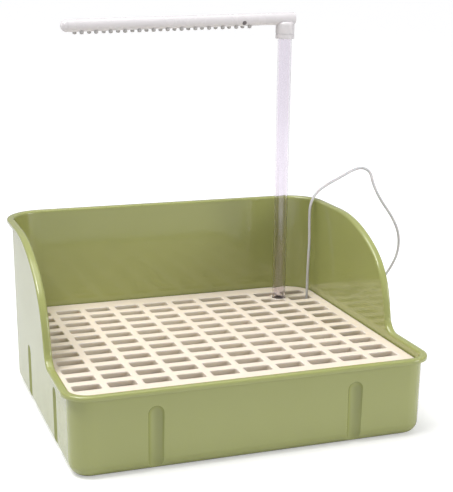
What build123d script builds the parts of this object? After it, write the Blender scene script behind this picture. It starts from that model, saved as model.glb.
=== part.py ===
from build123d import *
import os
from math import cos, hypot, pi, radians, sin, tan

# A shower bath for small pets: a high-backed moulded tub with a slotted grid at rim level, a small
# submersible pump under the grid, a clear riser tube and a spray bar over the bath.
# Millimetres. +Z is up, X runs across, Y runs from the low front (-Y) to the high back (+Y).
# The origin is on the floor, in the middle of the rim's outline.

# Tub
tub_base_width = 335.5
tub_base_depth = 290.0
tub_height = 175.0
front_height = 77.7
draft = 0.9
wall = 2.5
floor_thickness = 3.0
front_corner = 18.0
back_corner = 32.0
bottom_round = 12.0
rim_width = 5.0
rim_drop = 4.0
rim_inner_round = 2.4
rim_outer_round = 2.0
shoulder_start = 18.0
shoulder_drop = 38.5
shoulder_angle = 30.0
side_lean = 15.0
shoulder_radius = 168.0
brow_radius = 75.0
valley_radius = 16.0

# Half-round grooves in the walls; inside the tub their tops are the ledges that carry the grid
groove_radius = 8.0
groove_depth = 4.6
groove_top = 61.2
ledge_height = 64.0
front_groove_spread = 189.0
side_groove_front = -76.0
side_groove_back = 46.0

# Grid
grid_gap = 1.5
grid_thickness = 6.0
grid_front_corner = 16.0
slot_columns = 10
slot_rows = 11
slot_pitch_x = 32.0
slot_pitch_y = 22.3
slot_length = 25.5
slot_width = 12.8
slot_corner = 2.0
slot_field_x = -2.4
slot_field_y = 3.35
riser_hole_gap = 0.45
riser_collar = 2.6

# Riser, elbow and spray bar
riser_x = 120.2
riser_y = 102.1
riser_diameter = 14.5
riser_wall = 1.5
riser_top = 366.4
running_gap = 0.05
elbow_wall = 2.65
elbow_bottom = 353.6
elbow_shoulder = 371.5
elbow_shoulder_round = 3.5
elbow_arm = 14.2
elbow_edge_round = 0.6
witness_line = 0.4
witness_rise = 4.5
bar_axis_z = 374.4
bar_slope = 1.5
bar_diameter = 12.5
bar_wall = 1.6
bar_length = 218.9
spigot_length = 16.0
waterway = 5.6
cap_plug_length = 8.0
nozzle_count = 13
nozzle_pitch = 14.8
nozzle_first = 41.2
nozzle_stagger = 6.0
nozzle_angle = 21.0
nozzle_diameter = 4.2
nozzle_bore = 1.6
nozzle_stand = 2.6
port_distance = 47.7
port_angle = 28.0
port_diameter = 4.6
port_stand = 0.5
port_edge_round = 0.6
seal_section = 1.5
seal_distance = 9.0
bar_seal_section = 1.0

# Pump, standing on its suction cups with its rotor lying along X under the riser
cup_height = 5.0
pump_length = 49.0
pump_width = 38.0
pump_height = 36.0
pump_round = 3.5
outlet_inset = 1.5
bore_lead = 1.0
seat_clearance = 0.2
rotor_axis_rise = 16.0
chamber_radius = 13.0
chamber_depth = 14.0
chamber_ahead = 11.0
well_radius = 8.0
well_depth = 18.0
well_wall = 1.2
pocket_margin = 4.0
shaft_radius = 1.5
magnet_gap = 0.8
socket_depth = 12.0
socket_floor = 48.0
socket_wall = 3.2
cover_length = 15.0
cover_wall = 1.8
cover_lip = 4.0
cover_lip_wall = 1.5
eye_radius = 5.5
eye_plate = 2.0
spoke_width = 1.6
bush_radius = 2.4
bush_length = 3.0
blade_count = 6
blade_reach = 11.0
blade_width = 6.5
blade_thickness = 1.2
hub_radius = 4.0
impeller_start = 4.0
impeller_plate = 1.5
hub_overlap = 0.5
rotor_joint = 0.6
rotor_play = 0.4
core_width = 27.0
core_height = 12.0
core_leg = 3.7
yoke_length = 6.0
core_setback = 2.8
winding = 3.0
winding_gap = 0.4
winding_play = 0.2
knob_radius = 7.5
knob_thickness = 2.0
knob_hole_radius = 1.8
knob_hole_offset = 4.6
knob_pin_radius = 1.5
knob_rib = 2.0
knob_rib_rise = 1.6
knob_barb = 0.6
intake_slot = 2.2
intake_slot_rises = (-3, -2.1, 2.1, 3)
intake_slot_share = 0.36
sponge_setback = 1.2
cup_radius = 6.0
cup_waist = 2.7
cup_neck = 2.6
cup_stud = 1.8
cup_stud_length = 1.8
cup_inset_front = 6.0
cup_inset_back = 9.5
cup_spread = 26.0
gland_x = 151.5
gland_y = 95.5
gland_sleeve = 1.8
gland_margin = 1.4
gland_flange = 1.2
gland_cone = 10.0
cone_wall_start = 1.7
cone_wall_end = 0.6

# Cord
cord_diameter = 3.0
coil_middle = 36.0
coil_columns = 3
coil_layers = 2
coil_x = 105.0
coil_y = 198.0
tie_thickness = 0.9
tie_width = 6.0
fit_gap = 0.3
plug_length = 28.0
plug_width = 15.0
plug_height = 8.0
boot_length = 10.0
shell_length = 12.0
shell_width = 12.0
shell_height = 4.5
shell_wall = 0.3
tongue_half = 0.9
tongue_setback = 0.4
contact_pitch = 2.3
contact_width = 1.0
contact_thickness = 0.2
contact_setback = 2.0

# The cord's route from the gland, up through a slot of the grid, over the rim and down to the floor
cord_points = [
    (151.5, 95.5, 55.2),
    (151.5, 95.5, 82.0),
    (152.0, 95.9, 108.0),
    (154.6, 99.5, 131.0),
    (156.2, 105.0, 152.0),
    (159.2, 111.5, 171.0),
    (168.5, 117.5, 182.5),
    (184.0, 121.5, 190.5),
    (203.0, 126.5, 197.0),
    (219.0, 131.5, 203.0),
    (232.5, 133.0, 206.0),
    (241.5, 129.0, 201.0),
    (241.0, 121.0, 188.5),
    (247.0, 112.5, 171.0),
    (260.0, 107.0, 152.0),
    (269.5, 106.0, 132.0),
    (270.5, 107.5, 110.0),
    (264.5, 112.0, 90.5),
    (254.0, 119.0, 71.0),
    (243.0, 126.5, 52.0),
    (234.0, 133.5, 34.0),
    (225.0, 141.5, 18.0),
    (211.0, 151.0, 6.5),
    (192.0, 160.0, 2.0),
    (172.0, 168.5, 1.9),
    (150.0, 174.0, 2.2),
    (127.0, 177.3, 2.7),
    (105.0, 177.0, 2.7),
]
tail_points = [(105.0, 177.0, 5.7), (96.5, 177.3, 5.2), (86.5, 178.0, 4.1), (76.0, 178.0, 4.1)]


def growth(z):
    # How far the drafted walls have moved out at height z
    return z * tan(radians(draft))


grid_top = ledge_height + grid_thickness
rim_middle_shift = (growth(tub_height) - growth(front_height)) / 2
bar_radius = bar_diameter / 2
bore_radius = bar_radius - bar_wall
spigot_radius = bore_radius - running_gap
riser_radius = riser_diameter / 2
cord_radius = cord_diameter / 2
pump_x = riser_x - chamber_ahead
pump_z = floor_thickness + cup_height
rotor_z = pump_z + rotor_axis_rise
pump_top = pump_z + pump_height
pump_end = pump_x + pump_length
well_x = pump_x + chamber_depth
well_end = well_x + well_depth
yoke_end = pump_end - winding - winding_gap
yoke_start = yoke_end - yoke_length
gland_hole = cord_radius + gland_sleeve
cup_columns = (pump_x + cup_inset_front, pump_end - cup_inset_back)
cup_places = [(x, riser_y + side * cup_spread / 2) for x in cup_columns for side in (-1, 1)]
coil_bottom = tie_thickness + fit_gap
coil_height = coil_layers * cord_diameter
coil_half = coil_columns * cord_diameter / 2
boot_start, plug_y, plug_z = tail_points[-1]
plug_start = boot_start - boot_length
shell_start = plug_start - plug_length
shell_end = shell_start - shell_length
tongue_drop = shell_height / 2 - shell_wall - tongue_half
slope = radians(bar_slope)
bar_end = elbow_arm + bar_length
# The spray bar's own frame: X runs out along the bar from the riser's axis, Y to the front, Z up
bar_frame = Plane(origin=(riser_x, riser_y, bar_axis_z), x_dir=(-cos(slope), 0, -sin(slope)),
                  z_dir=(-sin(slope), 0, cos(slope)))


def upright(radius, bottom, top, x=0.0, y=0.0):
    # A round bar standing along Z
    return Pos(x, y, bottom) * Cylinder(radius, top - bottom, align=(Align.CENTER, Align.CENTER, Align.MIN))


def outline(width, depth, front_radius, back_radius):
    # A rectangle with its own corner radii at the front and the back
    shape = Rectangle(width, depth)
    shape = fillet(shape.vertices().group_by(Axis.Y)[0], front_radius)
    return fillet(shape.vertices().sort_by(Axis.Y)[-2:], back_radius)


def tub_solid(inset, bottom, top):
    # The drafted body of the tub, moved in by inset, between two heights
    grow = 2 * growth(bottom) - 2 * inset
    face = outline(tub_base_width + grow, tub_base_depth + grow, front_corner - inset, back_corner - inset)
    return extrude(Pos(0, -rim_middle_shift, bottom) * face, amount=top - bottom, taper=-draft)


def rim_corners():
    # Corners of the rim line in the YZ plane, from the back to the front
    reach = tub_base_depth
    run = shoulder_drop / tan(radians(shoulder_angle))
    brow = (shoulder_start - run, tub_height - shoulder_drop)
    valley = (brow[0] - (brow[1] - front_height) * tan(radians(side_lean)), front_height)
    return [(reach, tub_height), (shoulder_start, tub_height), brow, valley, (-reach, front_height)]


def lowered(points, distance):
    # The same open polygon moved square to its sides, by distance, to the underside
    normals = []
    for (ya, za), (yb, zb) in zip(points, points[1:]):
        length = hypot(yb - ya, zb - za)
        normals.append(((za - zb) / length, (yb - ya) / length))
    moved = [(points[0][0] + distance * normals[0][0], points[0][1] + distance * normals[0][1])]
    for (y, z), (ny, nz), (my, mz) in zip(points[1:-1], normals, normals[1:]):
        scale = distance / (1 + ny * my + nz * mz)
        moved.append((y + scale * (ny + my), z + scale * (nz + mz)))
    last = points[-1]
    moved.append((last[0] + distance * normals[-1][0], last[1] + distance * normals[-1][1]))
    return moved


def rim_line(drop):
    # The rim's side view, from the back to the front, or that line lowered by drop
    corners = lowered(rim_corners(), drop) if drop else rim_corners()
    radii = [shoulder_radius - drop, brow_radius - drop, valley_radius + drop]
    return FilletPolyline(*corners, radius=radii)


def below_rim_line(drop):
    # Everything under the rim line, or under that line lowered by drop
    line = rim_line(drop)
    back, front = line @ 0, line @ 1
    under = -50.0
    closing = Polyline(front, (front.X, under), (back.X, under), back)
    return extrude(Plane.YZ * make_face(line + closing), amount=tub_base_width, both=True)


def groove_places():
    # Position and outward direction of each groove's axis, on the outer wall at mid height
    out = growth(front_height / 2) + groove_radius - groove_depth
    half_width = tub_base_width / 2 + out
    half_depth = tub_base_depth / 2 + out
    places = []
    for side in (-1, 1):
        x = side * front_groove_spread / 2
        places.append((x, -rim_middle_shift - half_depth))
        places.append((x, -rim_middle_shift + half_depth))
        places.append((side * half_width, side_groove_front))
        places.append((side * half_width, side_groove_back))
    return places


def rim_edges(body, outermost):
    # The rim's upper edges: the ones round its outside, or the ones round the inside of the tub
    line = rim_line(0)
    found = []
    for edge in body.edges():
        points = [edge @ share for share in (0.25, 0.5, 0.75)]
        if max(line.distance_to(Vector(point.Y, point.Z, 0)) for point in points) > 0.02:
            continue
        middle = points[1]
        beyond_side = abs(middle.X) - tub_base_width / 2 - growth(middle.Z)
        beyond_end = abs(middle.Y + rim_middle_shift) - tub_base_depth / 2 - growth(middle.Z)
        if (max(beyond_side, beyond_end) > 0) == outermost:
            found.append(edge)
    return found


def make_tub():
    shell = tub_solid(0, 0, tub_height + 10)
    shell = fillet(shell.edges().group_by(Axis.Z)[0], bottom_round)
    body = shell & below_rim_line(0)
    band = below_rim_line(0) - below_rim_line(rim_drop)
    flange = tub_solid(-rim_width, front_height / 2, tub_height + 10) & band
    body += flange
    cavity = tub_solid(wall, floor_thickness, tub_height + 20)
    cavity = fillet(cavity.edges().group_by(Axis.Z)[0], bottom_round - wall)
    for x, y in groove_places():
        cavity -= upright(groove_radius + wall, 0, ledge_height, x, y)
    body -= cavity
    body = fillet(rim_edges(body, True), rim_outer_round)
    body = fillet(rim_edges(body, False), rim_inner_round)
    chord = (groove_radius ** 2 - (groove_radius - groove_depth) ** 2) ** 0.5
    column = groove_top - chord
    for x, y in groove_places():
        body -= upright(groove_radius, -1, column, x, y) + Pos(x, y, column) * Sphere(groove_radius)
    return body


def make_grid():
    width = tub_base_width + 2 * (growth(grid_top) - wall - grid_gap)
    depth = tub_base_depth + 2 * (growth(grid_top) - wall - grid_gap)
    plate = outline(width, depth, grid_front_corner, back_corner - wall - grid_gap)
    plate = Pos(0, -rim_middle_shift) * plate
    slot = RectangleRounded(slot_length, slot_width, slot_corner)
    field = GridLocations(slot_pitch_x, slot_pitch_y, slot_columns, slot_rows)
    plate -= Pos(slot_field_x, slot_field_y) * field * slot
    hole_radius = riser_radius + riser_hole_gap
    plate += Pos(riser_x, riser_y) * Circle(hole_radius + riser_collar)
    plate -= Pos(riser_x, riser_y) * Circle(hole_radius)
    return extrude(Pos(0, 0, ledge_height) * plate, amount=grid_thickness)


def lying(radius, start, end, y, z):
    # A round bar along X
    return Pos(start, y, z) * Rot(0, 90, 0) * upright(radius, 0, end - start)


def block(low, high):
    # A box between two opposite corners
    size = [b - a for a, b in zip(low, high)]
    return Pos(*low) * Box(*size, align=(Align.MIN, Align.MIN, Align.MIN))


def on_pump(start, end, half_width, bottom, top):
    # A box on the pump, centred on the riser across Y
    return block((start, riser_y - half_width, bottom), (end, riser_y + half_width, top))


def on_rotor(radius, start, end):
    # A round bar on the rotor's axis
    return lying(radius, start, end, riser_y, rotor_z)


def on_bar(radius, start, end):
    return bar_frame * lying(radius, start, end, 0, 0)


def across_bar(radius, distance, angle, inner, outer):
    # A round stub square to the bar, turned by angle from straight down towards the front
    return Pos(distance, 0, 0) * Rot(angle, 0, 0) * upright(radius, -outer, -inner)


def make_riser():
    bottom = socket_floor + seat_clearance
    tube = upright(riser_radius, bottom, riser_top, riser_x, riser_y)
    return tube - upright(riser_radius - riser_wall, bottom, riser_top, riser_x, riser_y)


def riser_seal(height):
    # O-ring round the riser; it lies in a groove of the socket
    middle = riser_radius + running_gap + seal_section / 2
    return Pos(riser_x, riser_y, height) * Torus(middle, seal_section / 2)


def riser_seal_groove(height):
    half = seal_section / 2 + running_gap
    outer = riser_radius + 2 * running_gap + seal_section
    return upright(outer, height - half, height + half, riser_x, riser_y)


def make_elbow():
    leg = riser_radius + elbow_wall
    outer = upright(leg, elbow_bottom, elbow_shoulder, riser_x, riser_y)
    outer = fillet(outer.edges().group_by(Axis.Z)[-1], elbow_shoulder_round)
    outer = fillet(outer.edges().group_by(Axis.Z)[0], elbow_edge_round)
    line = elbow_bottom + witness_rise
    ring = upright(leg + 1, line, line + 2 * witness_line, riser_x, riser_y)
    ring -= upright(leg - witness_line, line, line + 2 * witness_line, riser_x, riser_y)
    tip = elbow_arm + spigot_length
    body = outer - ring + on_bar(bar_radius, -leg, elbow_arm) + on_bar(spigot_radius, 0, tip)
    body -= upright(riser_radius + running_gap, elbow_bottom, riser_top + fit_gap, riser_x, riser_y)
    body -= upright(waterway / 2, riser_top, bar_axis_z, riser_x, riser_y)
    body -= Pos(riser_x, riser_y, bar_axis_z) * Sphere(waterway / 2)
    body -= on_bar(waterway / 2, 0, tip)
    body -= riser_seal_groove(elbow_bottom + seal_distance)
    at = elbow_arm + seal_distance
    half = bar_seal_section / 2 + running_gap
    groove = on_bar(spigot_radius + 1, at - half, at + half)
    groove -= on_bar(spigot_radius - bar_seal_section - running_gap, at - half, at + half)
    return body - groove


def make_bar_seal():
    ring = Torus(spigot_radius - bar_seal_section / 2, bar_seal_section / 2)
    return bar_frame * (Pos(elbow_arm + seal_distance, 0, 0) * Rot(0, 90, 0) * ring)


def nozzle_distances(shift):
    return [nozzle_first + shift + nozzle_pitch * index for index in range(nozzle_count)]


def make_nozzles(angle, shift):
    # Soft tips pressed into the bar's wall, each with its own jet hole
    inner, outer = bore_radius + 2 * running_gap, bar_radius + nozzle_stand
    tips = []
    for distance in nozzle_distances(shift):
        tip = across_bar(nozzle_diameter / 2, distance, angle, inner, outer)
        tip = chamfer(tip.edges().group_by(Axis.Z)[0], nozzle_diameter / 8)
        tips.append(tip - across_bar(nozzle_bore / 2, distance, angle, 0, bar_radius + 2 * nozzle_stand))
    return Compound([bar_frame * tip for tip in tips])


def make_spray_bar():
    bar = lying(bar_radius, elbow_arm, bar_end, 0, 0) - lying(bore_radius, elbow_arm, bar_end, 0, 0)
    hole = nozzle_diameter / 2 + running_gap / 2
    for angle, shift in ((nozzle_angle, 0), (-nozzle_angle, nozzle_stagger)):
        for distance in nozzle_distances(shift):
            bar -= across_bar(hole, distance, angle, 0, 2 * bar_radius)
    bar -= across_bar(port_diameter / 2 + running_gap / 2, port_distance, 90 - port_angle, 0, 2 * bar_radius)
    return bar_frame * bar


def make_port_plug():
    inner, outer = bore_radius + 2 * running_gap, bar_radius + port_stand
    plug = across_bar(port_diameter / 2, port_distance, 90 - port_angle, inner, outer)
    rim = plug.edges().sort_by(lambda edge: edge.center().Y)[-1]
    return bar_frame * fillet(rim, port_edge_round)


def make_end_cap():
    dome = Pos(bar_end, 0, 0) * Sphere(bar_radius)
    dome -= block((bar_end - 2 * bar_radius, -bar_radius, -bar_radius), (bar_end, bar_radius, bar_radius))
    plug = lying(bore_radius - running_gap, bar_end - cap_plug_length, bar_end, 0, 0)
    return bar_frame * (dome + plug)


def stator_pocket(clearance=0.0):
    # The hollow behind the rotor's well that holds the winding, open at the back of the pump
    start = well_x + pocket_margin
    half = pump_width / 2 - pocket_margin
    hollow = on_pump(start, pump_end, half, pump_z + pocket_margin, pump_top - pocket_margin)
    return hollow - on_rotor(well_radius + well_wall + clearance, start, well_end + well_wall + clearance)


def make_pump_housing():
    body = on_pump(pump_x, pump_end, pump_width / 2, pump_z, pump_top)
    body = fillet(body.edges().filter_by(Axis.X), pump_round)
    lip_half = pump_width / 2 - cover_wall - fit_gap
    low, high = pump_z + cover_wall + fit_gap, pump_top - cover_wall - fit_gap
    lip = on_pump(pump_x - cover_lip, pump_x, lip_half, low, high)
    low, high = low + cover_lip_wall, high - cover_lip_wall
    body += lip - on_pump(pump_x - cover_lip, pump_x, lip_half - cover_lip_wall, low, high)
    body += upright(riser_radius + socket_wall, pump_top, socket_floor + socket_depth, riser_x, riser_y)
    body -= on_rotor(chamber_radius, pump_x, well_x)
    body -= on_rotor(well_radius, pump_x, well_end)
    body -= stator_pocket()
    outlet_radius = riser_radius - riser_wall - outlet_inset
    body -= upright(outlet_radius, rotor_z, socket_floor + bore_lead, riser_x, riser_y)
    body -= upright(riser_radius + running_gap, socket_floor, socket_floor + socket_depth, riser_x, riser_y)
    body -= riser_seal_groove(socket_floor + socket_depth / 2)
    body -= upright(gland_hole, pump_top - pocket_margin, pump_top, gland_x, gland_y)
    for x, y in cup_places:
        body -= upright(cup_stud + running_gap, pump_z, pump_z + cup_stud_length + 2 * running_gap, x, y)
    return body


def cord_cone(length):
    # The tapering sleeve round the cord at either end, standing along Z
    start, end = cord_radius + cone_wall_start, cord_radius + cone_wall_end
    return Cone(start, end, length, align=(Align.CENTER, Align.CENTER, Align.MIN))


def make_gland():
    base = pump_top + gland_flange
    body = upright(gland_hole - running_gap, pump_top - pocket_margin, base, gland_x, gland_y)
    body += upright(gland_hole + gland_margin, pump_top, base, gland_x, gland_y)
    return body + Pos(gland_x, gland_y, base) * cord_cone(gland_cone)


def make_suction_cups():
    cups = []
    for x, y in cup_places:
        skirt = Cone(cup_radius, cup_waist, cup_height / 2, align=(Align.CENTER, Align.CENTER, Align.MIN))
        neck = upright(cup_neck, floor_thickness + cup_height / 2, pump_z, x, y)
        stud = upright(cup_stud, pump_z, pump_z + cup_stud_length, x, y)
        cups.append(Pos(x, y, floor_thickness) * skirt + neck + stud)
    return Compound(cups)


def make_impeller_cover():
    start = pump_x + seat_clearance
    disc = on_rotor(chamber_radius - 2 * running_gap, start, start + eye_plate)
    disc -= on_rotor(eye_radius, start, start + eye_plate)
    boss = on_rotor(bush_radius + 1, start, start + bush_length)
    spokes = Part()
    half = spoke_width / 2
    for index in range(3):
        spoke = block((start, bush_radius, -half), (start + eye_plate, eye_radius + 1, half))
        spokes += Pos(0, riser_y, rotor_z) * Rot(120 * index, 0, 0) * spoke
    return disc + boss + spokes - on_rotor(bush_radius + running_gap, start, start + bush_length)


def make_bush(radius, start):
    end = start + bush_length
    return on_rotor(radius, start, end) - on_rotor(shaft_radius + running_gap / 2, start, end)


def make_impeller():
    start = pump_x + impeller_start
    end = start + blade_width
    half = blade_thickness / 2
    hub = on_rotor(hub_radius, start, well_x + rotor_joint)
    plate = on_rotor(blade_reach, end, end + impeller_plate)
    blades = Part()
    for index in range(blade_count):
        blade = block((start, hub_radius - hub_overlap, -half), (end, blade_reach, half))
        blades += Pos(0, riser_y, rotor_z) * Rot(360 / blade_count * index, 0, 0) * blade
    return hub + plate + blades - on_rotor(shaft_radius + running_gap, start, well_x + rotor_joint)


def make_magnet():
    start, end = well_x + rotor_joint, well_end - bush_length - rotor_play
    return on_rotor(well_radius - magnet_gap, start, end) - on_rotor(shaft_radius + running_gap, start, end)


def make_core():
    low, high = rotor_z - core_height / 2, rotor_z + core_height / 2
    outer = on_pump(well_x + pocket_margin + core_setback, yoke_end, core_width / 2, low, high)
    return outer - on_pump(well_x, yoke_start, core_width / 2 - core_leg, low, high)


def make_coil_winding():
    half = core_width / 2 - core_leg - winding_gap
    low, high = rotor_z - core_height / 2, rotor_z + core_height / 2
    start = yoke_start - winding + winding_play
    outer = on_pump(start, yoke_end + winding, half, low - winding, high + winding)
    return outer - on_pump(yoke_start, yoke_end, half, low, high)


def make_potting():
    return stator_pocket(running_gap) - make_core() - make_coil_winding()


def make_intake_cover():
    start = pump_x - cover_length
    body = on_pump(start, pump_x, pump_width / 2, pump_z, pump_top)
    body = fillet(body.edges().filter_by(Axis.X), pump_round)
    low, high = pump_z + cover_wall, pump_top - cover_wall
    body -= on_pump(start + cover_wall, pump_x, pump_width / 2 - cover_wall, low, high)
    for rise in intake_slot_rises:
        bottom = rotor_z + (2 * rise - 0.5) * intake_slot
        top = bottom + intake_slot
        if low < bottom and top < high:
            body -= on_pump(start, start + cover_wall, pump_width * intake_slot_share, bottom, top)
    body -= on_rotor(knob_pin_radius + running_gap, start, start + cover_wall)
    for side in (-1, 1):
        body -= lying(knob_hole_radius, start, start + cover_wall, riser_y + side * knob_hole_offset, rotor_z)
    return body


def make_sponge():
    low, high = pump_z + cover_wall + fit_gap, pump_top - cover_wall - fit_gap
    start = pump_x - cover_length + cover_wall + sponge_setback
    return on_pump(start, pump_x - cover_lip - fit_gap, pump_width / 2 - cover_wall - fit_gap, low, high)


def make_knob():
    face = pump_x - cover_length - running_gap
    front = face - knob_thickness
    disc = on_rotor(knob_radius, front, face)
    for side in (-1, 1):
        disc -= lying(knob_hole_radius, front, face, riser_y + side * knob_hole_offset, rotor_z)
    half = knob_radius - knob_rib / 2
    rib = on_pump(front - knob_rib_rise, front, knob_rib / 2, rotor_z - half, rotor_z + half)
    back = face + 2 * running_gap + cover_wall
    pin = on_rotor(knob_pin_radius, face, back + knob_barb)
    return disc + rib + pin + on_rotor(knob_pin_radius + knob_barb, back, back + knob_barb)


def make_tube(points):
    # A cord's tube: straight runs joined by the largest tangent arcs that its runs allow
    corners = [Vector(*point) for point in points]
    radii = []
    for before, corner, after in zip(corners, corners[1:], corners[2:]):
        turn = radians((corner - before).get_angle(after - corner))
        radii.append(0.45 * min((corner - before).length, (after - corner).length) / tan(turn / 2))
    print("arc radii in cord diameters:", [round(radius / cord_diameter, 1) for radius in radii])
    path = FilletPolyline(*corners, radius=radii)
    start = Plane(origin=path @ 0, z_dir=path % 0)
    tube = sweep(start * Circle(cord_radius), path=path)
    ratio = tube.volume / path.length / pi / cord_radius ** 2
    print("cord length", round(path.length, 1), "volume ratio", round(ratio, 4))
    return tube


def make_coil():
    ring = upright(coil_middle / 2 + coil_half, coil_bottom, coil_bottom + coil_height, coil_x, coil_y)
    ring -= upright(coil_middle / 2 - coil_half, coil_bottom, coil_bottom + coil_height, coil_x, coil_y)
    return fillet(ring.edges().filter_by(GeomType.CIRCLE), cord_radius * 0.9)


def make_tie():
    reach = coil_half + 2 * fit_gap
    middle = coil_x + coil_middle / 2
    top = coil_bottom + coil_height + fit_gap
    outer = block((middle - reach - tie_thickness, coil_y - tie_width / 2, 0),
                  (middle + reach + tie_thickness, coil_y + tie_width / 2, top + tie_thickness))
    return outer - block((middle - reach, coil_y - tie_width / 2, tie_thickness),
                         (middle + reach, coil_y + tie_width / 2, top))


def on_plug(start, end, half_width, half_height, lift=0.0):
    low = (end, plug_y - half_width, plug_z - half_height + lift)
    return block(low, (start, plug_y + half_width, plug_z + half_height + lift))


def make_plug_body():
    body = on_plug(plug_start, shell_start, plug_width / 2, plug_height / 2)
    return fillet(body.edges().filter_by(Axis.X), plug_height / 5)


def make_boot():
    return Pos(plug_start, plug_y, plug_z) * Rot(0, 90, 0) * cord_cone(boot_length)


def make_shell():
    half_width, half_height = shell_width / 2, shell_height / 2
    outer = on_plug(shell_start, shell_end, half_width, half_height)
    return outer - on_plug(shell_start, shell_end, half_width - shell_wall, half_height - shell_wall)


def make_tongue():
    half_width = shell_width / 2 - shell_wall
    return on_plug(shell_start, shell_end + tongue_setback, half_width, tongue_half, -tongue_drop)


def make_contacts():
    base = plug_z - tongue_drop + tongue_half
    strips = []
    for index in range(4):
        y = plug_y + (index - 1.5) * contact_pitch
        low = (shell_end + contact_setback, y - contact_width / 2, base)
        strips.append(block(low, (shell_start, y + contact_width / 2, base + contact_thickness)))
    return Compound(strips)


made = {
    "tub": make_tub(),
    "grid": make_grid(),
    "riser_tube": make_riser(),
    "elbow": make_elbow(),
    "elbow_seal": riser_seal(elbow_bottom + seal_distance),
    "bar_seal": make_bar_seal(),
    "spray_bar": make_spray_bar(),
    "front_nozzles": make_nozzles(nozzle_angle, 0),
    "rear_nozzles": make_nozzles(-nozzle_angle, nozzle_stagger),
    "port_plug": make_port_plug(),
    "bar_end_cap": make_end_cap(),
    "pump_housing": make_pump_housing(),
    "outlet_seal": riser_seal(socket_floor + socket_depth / 2),
    "impeller_cover": make_impeller_cover(),
    "front_bush": make_bush(bush_radius, pump_x + seat_clearance),
    "rear_bush": make_bush(well_radius - 2 * running_gap, well_end - bush_length),
    "rotor_shaft": on_rotor(shaft_radius, pump_x + rotor_joint, well_end - rotor_play),
    "impeller": make_impeller(),
    "rotor_magnet": make_magnet(),
    "stator_core": make_core(),
    "stator_winding": make_coil_winding(),
    "potting": make_potting(),
    "intake_cover": make_intake_cover(),
    "filter_sponge": make_sponge(),
    "flow_knob": make_knob(),
    "suction_cups": make_suction_cups(),
    "cable_gland": make_gland(),
    "cord": make_tube(cord_points),
    "cord_coil": make_coil(),
    "cord_tie": make_tie(),
    "cord_tail": make_tube(tail_points),
    "plug_boot": make_boot(),
    "plug_body": make_plug_body(),
    "plug_shell": make_shell(),
    "plug_tongue": make_tongue(),
    "plug_contacts": make_contacts(),
}

os.makedirs("parts", exist_ok=True)
for name, shape in made.items():
    export_step(shape, "parts/" + name + ".step")
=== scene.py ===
import bpy, bmesh, math
from mathutils import Matrix, Vector, noise


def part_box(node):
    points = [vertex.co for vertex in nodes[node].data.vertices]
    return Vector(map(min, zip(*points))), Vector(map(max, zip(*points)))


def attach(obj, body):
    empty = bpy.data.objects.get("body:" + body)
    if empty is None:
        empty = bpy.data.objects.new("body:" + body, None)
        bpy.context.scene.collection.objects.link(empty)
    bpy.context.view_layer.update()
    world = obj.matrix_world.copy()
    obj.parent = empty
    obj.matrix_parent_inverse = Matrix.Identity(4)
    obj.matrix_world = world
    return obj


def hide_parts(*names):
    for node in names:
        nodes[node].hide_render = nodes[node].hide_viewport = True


# Shower bath for small pets: sage tub, cream slotted grid, clear riser with a white spray bar,
# a little pump under the grid and a thin white cord over the rim. Metres, Z up.

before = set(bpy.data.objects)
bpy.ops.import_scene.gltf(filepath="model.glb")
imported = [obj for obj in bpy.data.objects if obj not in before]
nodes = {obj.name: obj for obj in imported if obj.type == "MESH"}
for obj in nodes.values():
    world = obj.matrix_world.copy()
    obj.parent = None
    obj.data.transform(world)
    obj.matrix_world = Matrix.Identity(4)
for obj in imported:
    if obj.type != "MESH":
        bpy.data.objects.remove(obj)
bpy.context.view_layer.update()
print("frame loaded,", len(nodes), "nodes")


def startMaterial(name, settings):
    # A new material; settings go straight onto the shader's own sockets
    material = bpy.data.materials.new(name)
    material.use_nodes = True
    tree = material.node_tree
    shader = tree.nodes["Principled BSDF"]
    for socket, value in settings.items():
        shader.inputs[socket].default_value = value
    return material, tree, shader


def join(tree, source, target):
    tree.links.new(source, target)


def coordinates(tree, stretch=(1, 1, 1)):
    # The piece's own coordinates in metres, stretched if the pattern runs along one way
    place = tree.nodes.new("ShaderNodeTexCoord").outputs["Object"]
    if stretch == (1, 1, 1):
        return place
    mapping = tree.nodes.new("ShaderNodeMapping")
    mapping.inputs["Scale"].default_value = stretch
    join(tree, place, mapping.inputs["Vector"])
    return mapping.outputs["Vector"]


def noiseField(tree, scale, detail=2.0, roughness=0.5, stretch=(1, 1, 1)):
    field = tree.nodes.new("ShaderNodeTexNoise")
    field.inputs["Scale"].default_value = scale
    field.inputs["Detail"].default_value = detail
    field.inputs["Roughness"].default_value = roughness
    join(tree, coordinates(tree, stretch), field.inputs["Vector"])
    return field.outputs["Fac"]


def cellField(tree, scale, stretch=(1, 1, 1)):
    field = tree.nodes.new("ShaderNodeTexVoronoi")
    field.inputs["Scale"].default_value = scale
    join(tree, coordinates(tree, stretch), field.inputs["Vector"])
    return field.outputs["Distance"]


def mapRange(tree, source, low, high, fromLow=0.0, fromHigh=1.0):
    node = tree.nodes.new("ShaderNodeMapRange")
    join(tree, source, node.inputs["Value"])
    node.inputs["From Min"].default_value = fromLow
    node.inputs["From Max"].default_value = fromHigh
    node.inputs["To Min"].default_value = low
    node.inputs["To Max"].default_value = high
    return node.outputs["Result"]


def blendColours(tree, factor, first, second):
    # first and second are colours, or sockets that give one
    node = tree.nodes.new("ShaderNodeMix")
    node.data_type = "RGBA"
    join(tree, factor, node.inputs["Factor"])
    for value, target in ((first, node.inputs[6]), (second, node.inputs[7])):
        if isinstance(value, tuple):
            target.default_value = (*value, 1)
        else:
            join(tree, value, target)
    return node.outputs[2]


def softEdge(tree, radius):
    # The small moulded radius on every edge
    node = tree.nodes.new("ShaderNodeBevel")
    node.samples = 6
    node.inputs["Radius"].default_value = radius
    return node.outputs["Normal"]


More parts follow.
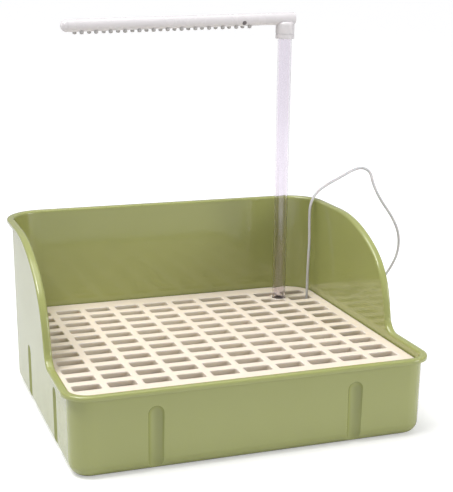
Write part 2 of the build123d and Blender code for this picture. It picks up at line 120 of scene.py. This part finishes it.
def edgeMask(tree, radius):
    # 1 on edges, 0 on flats: how far the rounded normal turns from the true one
    rounded = softEdge(tree, radius)
    true = tree.nodes.new("ShaderNodeNewGeometry").outputs["Normal"]
    product = tree.nodes.new("ShaderNodeVectorMath")
    product.operation = "DOT_PRODUCT"
    join(tree, rounded, product.inputs[0])
    join(tree, true, product.inputs[1])
    return mapRange(tree, product.outputs["Value"], 1.0, 0.0, 0.85, 1.0)


def shineFrom(tree, field, shine, span=(0, 1)):
    # Roughness between the two values of shine, over the given span of the field
    return mapRange(tree, field, *shine, *span)


def bumpOn(tree, height, distance, strength=1.0, normal=None):
    node = tree.nodes.new("ShaderNodeBump")
    node.inputs["Distance"].default_value = distance
    node.inputs["Strength"].default_value = strength
    join(tree, height, node.inputs["Height"])
    if normal is not None:
        join(tree, normal, node.inputs["Normal"])
    return node.outputs["Normal"]


def rippleField(tree, scale, axis, distortion=0.0):
    field = tree.nodes.new("ShaderNodeTexWave")
    field.bands_direction = axis
    field.inputs["Scale"].default_value = scale
    field.inputs["Distortion"].default_value = distortion
    join(tree, coordinates(tree), field.inputs["Vector"])
    return field.outputs["Fac"]


def finishWith(tree, shader, colour, roughness, normal):
    join(tree, colour, shader.inputs["Base Color"])
    join(tree, roughness, shader.inputs["Roughness"])
    join(tree, normal, shader.inputs["Normal"])


def paint(material, *names):
    for name in names:
        piece = nodes[name]
        piece.data.materials.clear()
        piece.data.materials.append(material)


sage = {
    "body": (0.350, 0.372, 0.130),
    "cloud": (0.330, 0.350, 0.117),
    "edge": (0.45, 0.48, 0.21),
    "edgeRadius": 0.0012,
    "wear": (0.3, 0.8),
    "wave": 0.0006,
    "grain": 0.000012,
    "shine": (0.13, 0.20),
}
# The middle span of a noise, where most of its values lie
midSpan = (0.3, 0.7)


def sagePlastic():
    # Glossy moulded tub: slow waves from cooling, fine grain, paler along its edges
    material, tree, shader = startMaterial("sagePlastic", {
        "IOR": 1.49, "Subsurface Weight": 0.06, "Subsurface Scale": 0.004,
        "Subsurface Radius": (1.0, 1.0, 0.4), "Coat Weight": 0.55, "Coat Roughness": 0.07, "Coat IOR": 1.5})
    clouds = blendColours(tree, noiseField(tree, 9, 3), sage["body"], sage["cloud"])
    worn = tree.nodes.new("ShaderNodeMath")
    worn.operation = "MULTIPLY"
    join(tree, edgeMask(tree, sage["edgeRadius"]), worn.inputs[0])
    join(tree, mapRange(tree, noiseField(tree, 60, 3), *sage["wear"]), worn.inputs[1])
    colour = blendColours(tree, worn.outputs[0], clouds, sage["edge"])
    smear = shineFrom(tree, noiseField(tree, 25, 5, 0.6), sage["shine"], midSpan)
    normal = bumpOn(tree, noiseField(tree, 16, 1), sage["wave"], 1.0, softEdge(tree, sage["edgeRadius"]))
    normal = bumpOn(tree, noiseField(tree, 2200, 2), sage["grain"], 1.0, normal)
    finishWith(tree, shader, colour, smear, normal)
    return material


cream = {
    "body": (0.86, 0.755, 0.64),
    "cloud": (0.83, 0.72, 0.60),
    # edge: a paler colour, the painted highlight on the rounded crests
    "edge": (0.90, 0.81, 0.74),
    "edgeRadius": 0.0024,
    "wave": 0.0003,
    "grain": 0.00002,
    "shine": (0.30, 0.42),
}


def creamPlastic():
    # Satin moulded grid, with a highlight painted along every rounded edge
    material, tree, shader = startMaterial("creamPlastic", {
        "IOR": 1.49, "Subsurface Weight": 0.12, "Subsurface Scale": 0.003,
        "Subsurface Radius": (1.0, 0.85, 0.55)})
    clouds = blendColours(tree, noiseField(tree, 14, 3), cream["body"], cream["cloud"])
    # Painted highlight: every edge is blended towards the paler edge colour
    colour = blendColours(tree, edgeMask(tree, cream["edgeRadius"]), clouds, cream["edge"])
    smear = shineFrom(tree, noiseField(tree, 70, 4), cream["shine"], midSpan)
    normal = bumpOn(tree, noiseField(tree, 30, 1), cream["wave"], 1.0, softEdge(tree, cream["edgeRadius"]))
    normal = bumpOn(tree, noiseField(tree, 1800, 2), cream["grain"], 1.0, normal)
    finishWith(tree, shader, colour, smear, normal)
    return material


white = {
    "body": (0.73, 0.70, 0.71),
    "cloud": (0.69, 0.66, 0.67),
    "edgeRadius": 0.0007,
    "grain": 0.00001,
    "shine": (0.20, 0.30),
}


def whitePlastic():
    # Glossy white fittings, with the faintest flow marks
    material, tree, shader = startMaterial("whitePlastic", {
        "IOR": 1.48, "Subsurface Weight": 0.1, "Subsurface Scale": 0.002,
        "Subsurface Radius": (1.0, 0.9, 0.9)})
    flow = noiseField(tree, 40, 4, 0.5, (0.4, 1, 1))
    colour = blendColours(tree, flow, white["body"], white["cloud"])
    smear = shineFrom(tree, noiseField(tree, 120, 3), white["shine"], midSpan)
    grain = noiseField(tree, 2500, 2)
    normal = bumpOn(tree, grain, white["grain"], 1.0, softEdge(tree, white["edgeRadius"]))
    finishWith(tree, shader, colour, smear, normal)
    return material


clear = {
    "tint": (0.86, 0.825, 0.875),
    "haze": (0.89, 0.86, 0.905),
    "hazeSpan": (0.35, 0.7),
    "drawLines": 0.00000015,
    "shine": (0.0, 0.012),
}


def clearPlastic():
    # Extruded tube: die lines along its length and a faint haze
    material, tree, shader = startMaterial("clearPlastic", {
        "IOR": 1.47, "Transmission Weight": 1.0})
    lines = noiseField(tree, 900, 2, 0.5, (1, 1, 0.01))
    haze = noiseField(tree, 40, 4)
    colour = blendColours(tree, haze, clear["tint"], clear["haze"])
    smear = shineFrom(tree, haze, clear["shine"], clear["hazeSpan"])
    finishWith(tree, shader, colour, smear, bumpOn(tree, lines, clear["drawLines"]))
    return material


# Dust and handling show only where their noise is high
dustSpan = (0.45, 0.75)

rubber = {
    "grey": {"body": (0.44, 0.425, 0.42), "dust": (0.52, 0.505, 0.50), "shine": (0.42, 0.58)},
    "plug": {"body": (0.13, 0.115, 0.12), "dust": (0.20, 0.18, 0.185), "shine": (0.42, 0.58)},
    "dark": {"body": (0.010, 0.010, 0.011), "dust": (0.03, 0.03, 0.03), "shine": (0.47, 0.63)},
    "grain": 0.00002,
    "edgeRadius": 0.0003,
}


def softRubber(name, kind):
    # Moulded rubber or silicone with a little dust
    material, tree, shader = startMaterial(name, {"IOR": 1.45, "Sheen Weight": 0.15, "Sheen Roughness": 0.5})
    look = rubber[kind]
    dusty = mapRange(tree, noiseField(tree, 160, 5), 0, 1, *dustSpan)
    colour = blendColours(tree, dusty, look["body"], look["dust"])
    smear = shineFrom(tree, noiseField(tree, 300, 3), look["shine"])
    grain = noiseField(tree, 3000, 2)
    normal = bumpOn(tree, grain, rubber["grain"], 1.0, softEdge(tree, rubber["edgeRadius"]))
    finishWith(tree, shader, colour, smear, normal)
    return material


pump = {
    "body": (0.012, 0.012, 0.014),
    "cloud": (0.02, 0.02, 0.022),
    "worn": (0.05, 0.05, 0.055),
    "spark": 0.00006,
    "sparkStrength": 0.8,
    "edgeRadius": 0.0006,
    "shine": (0.45, 0.62),
}


def pumpPlastic():
    # Spark-eroded black housing, rubbed paler on its edges
    material, tree, shader = startMaterial("pumpPlastic", {"IOR": 1.5})
    clouds = blendColours(tree, noiseField(tree, 90, 4), pump["body"], pump["cloud"])
    colour = blendColours(tree, edgeMask(tree, pump["edgeRadius"]), clouds, pump["worn"])
    smear = shineFrom(tree, noiseField(tree, 400, 3), pump["shine"])
    pits = cellField(tree, 1600)
    normal = bumpOn(tree, pits, pump["spark"], pump["sparkStrength"], softEdge(tree, pump["edgeRadius"]))
    finishWith(tree, shader, colour, smear, normal)
    return material


impeller = {
    "body": (0.62, 0.62, 0.58),
    "cloud": (0.55, 0.55, 0.50),
    "grain": 0.00001,
    "edgeRadius": 0.0003,
    "shine": (0.25, 0.4),
}


def smoothMoulding():
    # Off-white impeller plastic
    material, tree, shader = startMaterial("smoothMoulding", {
        "IOR": 1.46, "Subsurface Weight": 0.1, "Subsurface Scale": 0.001})
    colour = blendColours(tree, noiseField(tree, 200, 3), impeller["body"], impeller["cloud"])
    smear = shineFrom(tree, noiseField(tree, 500, 2), impeller["shine"])
    grain = noiseField(tree, 2500, 1)
    normal = bumpOn(tree, grain, impeller["grain"], 1.0, softEdge(tree, impeller["edgeRadius"]))
    finishWith(tree, shader, colour, smear, normal)
    return material


shaft = {
    "body": (0.80, 0.79, 0.75),
    "cloud": (0.74, 0.72, 0.68),
    "rings": 0.000004,
    "shine": (0.12, 0.22),
}


def groundCeramic():
    # Shaft, ground round and round
    material, tree, shader = startMaterial("groundCeramic", {"IOR": 1.7, "Coat Weight": 0.2})
    colour = blendColours(tree, noiseField(tree, 500, 3), shaft["body"], shaft["cloud"])
    smear = shineFrom(tree, noiseField(tree, 900, 2), shaft["shine"])
    finishWith(tree, shader, colour, smear, bumpOn(tree, rippleField(tree, 3000, "X", 0.4), shaft["rings"]))
    return material


magnet = {
    "body": (0.022, 0.022, 0.025),
    "grit": (0.045, 0.043, 0.045),
    "grain": 0.00004,
    "edgeRadius": 0.0004,
    "shine": (0.4, 0.6),
}


def ferrite():
    # Moulded magnet, dark and slightly gritty
    material, tree, shader = startMaterial("ferrite", {"Metallic": 0.4})
    colour = blendColours(tree, cellField(tree, 1500), magnet["body"], magnet["grit"])
    smear = shineFrom(tree, noiseField(tree, 600, 3), magnet["shine"])
    grain = noiseField(tree, 2200, 4)
    normal = bumpOn(tree, grain, magnet["grain"], 1.0, softEdge(tree, magnet["edgeRadius"]))
    finishWith(tree, shader, colour, smear, normal)
    return material


core = {
    "gap": (0.10, 0.10, 0.11),
    "sheet": (0.36, 0.35, 0.34),
    "step": 0.00012,
    "shine": (0.3, 0.5),
}


def laminations():
    # Edges of punched sheets
    material, tree, shader = startMaterial("laminations", {"Metallic": 1.0})
    sheets = rippleField(tree, 320, "Z", 0.1)
    colour = blendColours(tree, sheets, core["gap"], core["sheet"])
    smear = shineFrom(tree, noiseField(tree, 400, 3), core["shine"])
    finishWith(tree, shader, colour, smear, bumpOn(tree, sheets, core["step"]))
    return material


winding = {
    # gap: darker copper, painted shade between the wires
    "gap": (0.22, 0.055, 0.018),
    "wire": (0.72, 0.27, 0.10),
    "step": 0.0002,
    "shine": (0.22, 0.38),
}


def wireWinding():
    # Enamelled copper, wire beside wire, with painted shade in the grooves between turns
    material, tree, shader = startMaterial("wireWinding", {
        "Metallic": 1.0, "Coat Weight": 0.5, "Coat Roughness": 0.1})
    turns = rippleField(tree, 700, "Y", 0.3)
    # Painted shade: the low band of each turn takes the dark gap colour
    colour = blendColours(tree, turns, winding["gap"], winding["wire"])
    smear = shineFrom(tree, noiseField(tree, 300, 3), winding["shine"])
    finishWith(tree, shader, colour, smear, bumpOn(tree, turns, winding["step"]))
    return material


resin = {
    "rim": (0.03, 0.03, 0.032),
    "body": (0.010, 0.010, 0.012),
    "bubbleSpan": (0.0, 0.18),
    "dent": 0.00015,
    "shine": (0.10, 0.24),
}


def castResin():
    # Black potting, flat with a few drowned bubbles
    material, tree, shader = startMaterial("castResin", {
        "IOR": 1.55, "Coat Weight": 0.3, "Coat Roughness": 0.05})
    bubbles = mapRange(tree, cellField(tree, 420), 0, 1, *resin["bubbleSpan"])
    colour = blendColours(tree, bubbles, resin["rim"], resin["body"])
    smear = shineFrom(tree, noiseField(tree, 120, 3), resin["shine"])
    finishWith(tree, shader, colour, smear, bumpOn(tree, bubbles, resin["dent"]))
    return material


foam = {
    # The pore colour is painted shade, near-black in the openings
    "hole": (0.004, 0.004, 0.005),
    "strut": (0.05, 0.05, 0.055),
    "strutSpan": (0.15, 0.6),
    "depth": 0.0006,
    "shine": (0.95, 0.75),
}


def openFoam():
    # Reticulated black foam, with painted shade in its pores
    material, tree, shader = startMaterial("openFoam", {"Sheen Weight": 0.3, "Sheen Roughness": 0.6})
    pores = cellField(tree, 900)
    struts = mapRange(tree, pores, 0, 1, *foam["strutSpan"])
    # Painted shade: the pore centres take the near-black colour, the struts the lighter one
    colour = blendColours(tree, struts, foam["hole"], foam["strut"])
    smear = shineFrom(tree, pores, foam["shine"])
    finishWith(tree, shader, colour, smear, bumpOn(tree, pores, foam["depth"]))
    return material


jacket = {
    "body": (0.60, 0.585, 0.59),
    "soiled": (0.54, 0.525, 0.52),
    "grain": 0.00003,
    "edgeRadius": 0.0004,
    "shine": (0.32, 0.45),
}


def cordJacket():
    # Soft white jacket, a little grey with handling
    material, tree, shader = startMaterial("cordJacket", {
        "IOR": 1.5, "Subsurface Weight": 0.08, "Subsurface Scale": 0.001, "Sheen Weight": 0.05})
    handled = mapRange(tree, noiseField(tree, 45, 5), 0, 1, *dustSpan)
    colour = blendColours(tree, handled, jacket["body"], jacket["soiled"])
    smear = shineFrom(tree, noiseField(tree, 200, 3), jacket["shine"], midSpan)
    grain = noiseField(tree, 2600, 3)
    normal = bumpOn(tree, grain, jacket["grain"], 1.0, softEdge(tree, jacket["edgeRadius"]))
    finishWith(tree, shader, colour, smear, normal)
    return material


tie = {
    "loop": (0.68, 0.67, 0.66),
    # gap: a darker colour, painted shade between the loops
    "gap": (0.50, 0.49, 0.48),
    "depth": 0.0003,
    "shine": (0.85, 0.7),
}


def wovenTie():
    # Hook tape: rows of tiny loops, with painted shade between them
    material, tree, shader = startMaterial("wovenTie", {"Sheen Weight": 0.4, "Sheen Roughness": 0.4})
    rows = cellField(tree, 1400)
    # Painted shade: away from each loop the colour turns to the darker gap colour
    colour = blendColours(tree, rows, tie["loop"], tie["gap"])
    smear = shineFrom(tree, rows, tie["shine"])
    finishWith(tree, shader, colour, smear, bumpOn(tree, rows, tie["depth"]))
    return material


plating = {
    "steel": {"light": (0.72, 0.72, 0.73), "dark": (0.55, 0.55, 0.56), "shine": (0.12, 0.32)},
    "gold": {"light": (0.85, 0.60, 0.22), "dark": (0.70, 0.47, 0.16), "shine": (0.14, 0.34)},
    "scratch": 0.00001,
    "edgeRadius": 0.0002,
}


def brightPlate(name, kind):
    # Plated sheet metal, with hairline scratches from being pushed in and pulled out
    material, tree, shader = startMaterial(name, {"Metallic": 1.0})
    look = plating[kind]
    hairlines = noiseField(tree, 1800, 3, 0.6, (0.03, 1, 1))
    colour = blendColours(tree, hairlines, look["light"], look["dark"])
    normal = bumpOn(tree, hairlines, plating["scratch"], 1.0, softEdge(tree, plating["edgeRadius"]))
    finishWith(tree, shader, colour, shineFrom(tree, hairlines, look["shine"]), normal)
    return material


paint(sagePlastic(), "tub")
paint(creamPlastic(), "grid")
paint(clearPlastic(), "riser_tube")
paint(whitePlastic(), "elbow", "spray_bar", "bar_end_cap", "plug_tongue")
paint(softRubber("greyRubber", "grey"), "front_nozzles", "rear_nozzles")
paint(softRubber("plugRubber", "plug"), "port_plug")
darkRubber = softRubber("darkRubber", "dark")
paint(darkRubber, "elbow_seal", "bar_seal", "outlet_seal", "front_bush", "rear_bush", "suction_cups")
paint(pumpPlastic(), "pump_housing", "impeller_cover", "intake_cover", "flow_knob")
paint(smoothMoulding(), "impeller")
paint(groundCeramic(), "rotor_shaft")
paint(ferrite(), "rotor_magnet")
paint(laminations(), "stator_core")
paint(wireWinding(), "stator_winding")
paint(castResin(), "potting")
foamMaterial = openFoam()
paint(foamMaterial, "filter_sponge")
jacketMaterial = cordJacket()
paint(jacketMaterial, "cable_gland", "plug_boot", "plug_body")
paint(wovenTie(), "cord_tie")
paint(brightPlate("platedSteel", "steel"), "plug_shell")
paint(brightPlate("goldPlate", "gold"), "plug_contacts")
print("materials made")


cord = {
    "diameter": 0.003,
    "length": 1.262,
    "coilCentre": (0.105, 0.198),
    "coilRadii": (0.021, 0.018, 0.015),
    "layerHeights": (0.0027, 0.0057),
    "pointsPerTurn": 18,
    "stepFrom": 0.75,
    "order": 3,
    "smoothing": 8,
    "roundness": 6,
}

# From the gland, up through a slot of the grid, over the rim and down to the floor
cordRoute = [
    (0.1515, 0.0955, 0.0552), (0.1515, 0.0955, 0.0820), (0.1520, 0.0959, 0.1080), (0.1546, 0.0995, 0.1310),
    (0.1562, 0.1050, 0.1520), (0.1592, 0.1115, 0.1710), (0.1685, 0.1175, 0.1825), (0.1840, 0.1215, 0.1905),
    (0.2030, 0.1265, 0.1970), (0.2190, 0.1315, 0.2030), (0.2325, 0.1330, 0.2060), (0.2415, 0.1290, 0.2010),
    (0.2410, 0.1210, 0.1885), (0.2470, 0.1125, 0.1710), (0.2600, 0.1070, 0.1520), (0.2695, 0.1060, 0.1320),
    (0.2705, 0.1075, 0.1100), (0.2645, 0.1120, 0.0905), (0.2540, 0.1190, 0.0710), (0.2430, 0.1265, 0.0520),
    (0.2340, 0.1335, 0.0340), (0.2250, 0.1415, 0.0180), (0.2110, 0.1510, 0.0065), (0.1920, 0.1600, 0.0020),
    (0.1720, 0.1685, 0.0019), (0.1500, 0.1740, 0.0022), (0.1270, 0.1773, 0.0027),
]
# From the coil to the plug's boot
tailRoute = [(0.0965, 0.1773, 0.0052), (0.0865, 0.1780, 0.0041), (0.0760, 0.1780, 0.0041)]


def coilTurns():
    # Three turns inward on the floor, then three outward on top of them
    centreX, centreY = cord["coilCentre"]
    count = cord["pointsPerTurn"]
    grow = 1 / math.cos(math.pi / count) ** 0.5
    low, high = cord["layerHeights"]
    stations = [(radius, low) for radius in cord["coilRadii"]]
    stations += [(radius, high) for radius in cord["coilRadii"][::-1]]
    points = []
    for turn, (radius, height) in enumerate(stations):
        nextRadius, nextHeight = stations[min(turn + 1, len(stations) - 1)]
        for step in range(count):
            share = step / count
            # The step to the next turn is made over the last part of this one
            move = max(0.0, (share - cord["stepFrom"]) / (1 - cord["stepFrom"]))
            move = move * move * (3 - 2 * move)
            r = (radius + (nextRadius - radius) * move) * grow
            z = height + (nextHeight - height) * move
            angle = -math.pi / 2 - 2 * math.pi * share
            points.append((centreX + r * math.cos(angle), centreY + r * math.sin(angle), z))
    points.append((centreX, centreY - cord["coilRadii"][0], high))
    return points


def makeCord():
    points = cordRoute + coilTurns() + tailRoute
    curve = bpy.data.curves.new("cordCurve", "CURVE")
    curve.dimensions = "3D"
    curve.bevel_depth = cord["diameter"] / 2
    curve.bevel_resolution = cord["roundness"]
    curve.resolution_u = cord["smoothing"]
    curve.use_fill_caps = True
    spline = curve.splines.new("NURBS")
    spline.points.add(len(points) - 1)
    for point, place in zip(spline.points, points):
        point.co = (*place, 1)
    spline.order_u = cord["order"]
    spline.use_endpoint_u = True
    piece = bpy.data.objects.new("power_cord", curve)
    bpy.context.scene.collection.objects.link(piece)
    curve.materials.append(jacketMaterial)
    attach(piece, "root")
    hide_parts("cord", "cord_coil", "cord_tail")


makeCord()
print("cord laid")


def newPiece(name, mesh, material, body, slotName, *replaced):
    piece = bpy.data.objects.new(name, mesh)
    bpy.context.scene.collection.objects.link(piece)
    mesh.materials.append(material)
    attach(piece, body)
    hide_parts(*replaced)
    return piece


sponge = {"cuts": 22, "swell": 0.0004, "pit": 0.0005, "pitScale": 420, "round": 0.0012}


def makeSponge():
    # A foam block: crowned faces, rounded edges and a pitted surface, inside its CAD block
    low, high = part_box("filter_sponge")
    middle, half = (low + high) / 2, (high - low) / 2
    shape = bmesh.new()
    bmesh.ops.create_cube(shape, size=2)
    bmesh.ops.subdivide_edges(shape, edges=shape.edges, cuts=sponge["cuts"], use_grid_fill=True)
    for vertex in shape.verts:
        unit = vertex.co.copy()
        reach = [1 - sponge["round"] / h for h in half]
        inner = Vector(max(-far, min(far, u)) for u, far in zip(unit, reach))
        core = Vector(a * b for a, b in zip(inner, half))
        out = Vector(a * b for a, b in zip(unit, half)) - core
        if out.length > 0:
            out = out.normalized() * sponge["round"]
        place = core + out
        crown = 1 - max(min(abs(a), 1) for a in sorted(unit, key=abs)[:2])
        pitted = noise.noise((middle + place) * sponge["pitScale"])
        depth = sponge["swell"] * (1 - crown) + sponge["pit"] * max(0.0, pitted)
        vertex.co = middle + place - place.normalized() * depth
    mesh = bpy.data.meshes.new("spongeMesh")
    shape.to_mesh(mesh)
    shape.free()
    mesh.shade_smooth()
    piece = newPiece("sponge_block", mesh, foamMaterial, "intake", "foam", "filter_sponge")


makeSponge()

cups = {
    "steps": 40,
    "radius": 0.006,
    "profile": [(0.0, 0.0012), (0.0028, 0.0010), (0.0050, 0.0002), (0.0060, 0.0), (0.0059, 0.0003),
                (0.0046, 0.0012), (0.0033, 0.0022), (0.0026, 0.0026), (0.0025, 0.0048), (0.0018, 0.0050),
                (0.0018, 0.0067), (0.0014, 0.0068), (0.0, 0.0068)],
}


def makeCups():
    # Four turned cups: thin flared skirt, neck and button
    low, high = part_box("suction_cups")
    radius, steps = cups["radius"], cups["steps"]
    centres = [(x, y) for x in (low.x + radius, high.x - radius) for y in (low.y + radius, high.y - radius)]
    shape = bmesh.new()
    for x, y in centres:
        rings = []
        for r, z in cups["profile"]:
            if r == 0:
                rings.append([shape.verts.new((x, y, low.z + z))])
                continue
            rings.append([shape.verts.new((x + r * math.cos(2 * math.pi * k / steps),
                                           y + r * math.sin(2 * math.pi * k / steps), low.z + z))
                          for k in range(steps)])
        for first, second in zip(rings, rings[1:]):
            for k in range(steps):
                corners = [first[k % len(first)], first[(k + 1) % len(first)],
                           second[(k + 1) % len(second)], second[k % len(second)]]
                # A ring of one point makes triangles, so the repeated corner goes
                shape.faces.new(list(dict.fromkeys(corners)))
    bmesh.ops.recalc_face_normals(shape, faces=shape.faces)
    mesh = bpy.data.meshes.new("cupsMesh")
    shape.to_mesh(mesh)
    shape.free()
    mesh.shade_smooth()
    newPiece("pump_cups", mesh, darkRubber, "root", "dark_rubber", "suction_cups")


makeCups()
print("pump's soft pieces made")


stage = {
    "floorSize": 30.0,
    "floorColour": (0.74, 0.74, 0.74),
    "skyColour": (0.36, 0.36, 0.37),
    "backdropColour": (1.0, 1.0, 1.0),
    "floorCloud": (0.76, 0.76, 0.76),
    "floorLift": 0.40,
    "floorRoughness": 0.6,
    "floorSpecular": 0.2,
}


def makeFloor():
    half = stage["floorSize"] / 2
    mesh = bpy.data.meshes.new("floorMesh")
    corners = [(-half, -half, 0), (half, -half, 0), (half, half, 0), (-half, half, 0)]
    mesh.from_pydata(corners, [], [(0, 1, 2, 3)])
    floor = bpy.data.objects.new("floor", mesh)
    bpy.context.scene.collection.objects.link(floor)
    material, tree, shader = startMaterial("paleFloor", {
        "Roughness": stage["floorRoughness"], "Specular IOR Level": stage["floorSpecular"]})
    tone = blendColours(tree, noiseField(tree, 3, 2), stage["floorColour"], stage["floorCloud"])
    join(tree, tone, shader.inputs["Base Color"])
    # Seen straight or through the clear tube the floor is white, but its bounce stays low
    path = tree.nodes.new("ShaderNodeLightPath")
    seen = tree.nodes.new("ShaderNodeMath")
    seen.operation = "MAXIMUM"
    join(tree, path.outputs["Is Camera Ray"], seen.inputs[0])
    join(tree, path.outputs["Is Transmission Ray"], seen.inputs[1])
    shader.inputs["Emission Color"].default_value = (1, 1, 1, 1)
    join(tree, mapRange(tree, seen.outputs[0], 0.0, stage["floorLift"]), shader.inputs["Emission Strength"])
    mesh.materials.append(material)


def makeSky():
    world = bpy.data.worlds.new("studioWhite")
    world.use_nodes = True
    tree = world.node_tree
    seen = tree.nodes.new("ShaderNodeLightPath").outputs["Is Camera Ray"]
    sky = blendColours(tree, seen, stage["skyColour"], stage["backdropColour"])
    join(tree, sky, tree.nodes["Background"].inputs["Color"])
    bpy.context.scene.world = world


lamps = {
    "overhead": {"place": (-0.15, 0.10, 2.2), "aim": (0.0, 0.0, 0.1), "size": (1.9, 1.7), "power": 14.0},
    "overLeft": {"place": (-0.70, -0.25, 1.45), "aim": (0.12, 0.05, 0.1), "size": (0.6, 0.6), "power": 8.0},
    "frontRight": {"place": (1.45, -1.25, 0.7), "aim": (0.05, -0.1, 0.05), "size": (0.8, 0.7), "power": 12.0},
}
# A wide even light from above, over the whole floor
skylight = {"from": (-0.38, 0.12, 1.0), "spread": 45, "strength": 1.6}


def makeLamps():
    # Soft boxes, each turned towards its aim
    for name, lamp in lamps.items():
        light = bpy.data.lights.new(name, "AREA")
        light.shape = "RECTANGLE"
        light.size, light.size_y = lamp["size"]
        light.energy = lamp["power"]
        holder = bpy.data.objects.new(name, light)
        place, aim = Vector(lamp["place"]), Vector(lamp["aim"])
        holder.location = place
        holder.rotation_euler = (place - aim).to_track_quat("Z", "Y").to_euler()
        bpy.context.scene.collection.objects.link(holder)
    light = bpy.data.lights.new("skylight", "SUN")
    light.energy = skylight["strength"]
    light.angle = math.radians(skylight["spread"])
    holder = bpy.data.objects.new("skylight", light)
    holder.rotation_euler = Vector(skylight["from"]).to_track_quat("Z", "Y").to_euler()
    bpy.context.scene.collection.objects.link(holder)


viewer = {
    "place": (-0.35417, -1.03215, 0.42843),
    "azimuth": -19.958,
    "elevation": 13.766,
    "roll": 0.719,
    "lens": 83.97,
    "sensor": 36,
    "near": 0.05,
    "far": 60,
}


def makeCamera():
    azimuth, elevation, roll = (math.radians(viewer[key]) for key in ("azimuth", "elevation", "roll"))
    back = Vector((math.sin(azimuth) * math.cos(elevation), -math.cos(azimuth) * math.cos(elevation),
                   math.sin(elevation)))
    level = Vector((math.cos(azimuth), math.sin(azimuth), 0))
    upright = back.cross(level)
    right = level * math.cos(roll) + upright * math.sin(roll)
    up = upright * math.cos(roll) - level * math.sin(roll)
    camera = bpy.data.cameras.new("studioCamera")
    camera.lens = viewer["lens"]
    camera.sensor_width = viewer["sensor"]
    camera.sensor_fit = "AUTO"
    camera.clip_start, camera.clip_end = viewer["near"], viewer["far"]
    holder = bpy.data.objects.new("studioCamera", camera)
    turned = Matrix((right, up, back)).transposed().to_4x4()
    holder.matrix_world = Matrix.Translation(viewer["place"]) @ turned
    bpy.context.scene.collection.objects.link(holder)
    bpy.context.scene.camera = holder


makeFloor()
makeSky()
makeLamps()
makeCamera()
bpy.context.scene.view_settings.view_transform = "Standard"
print("studio ready")
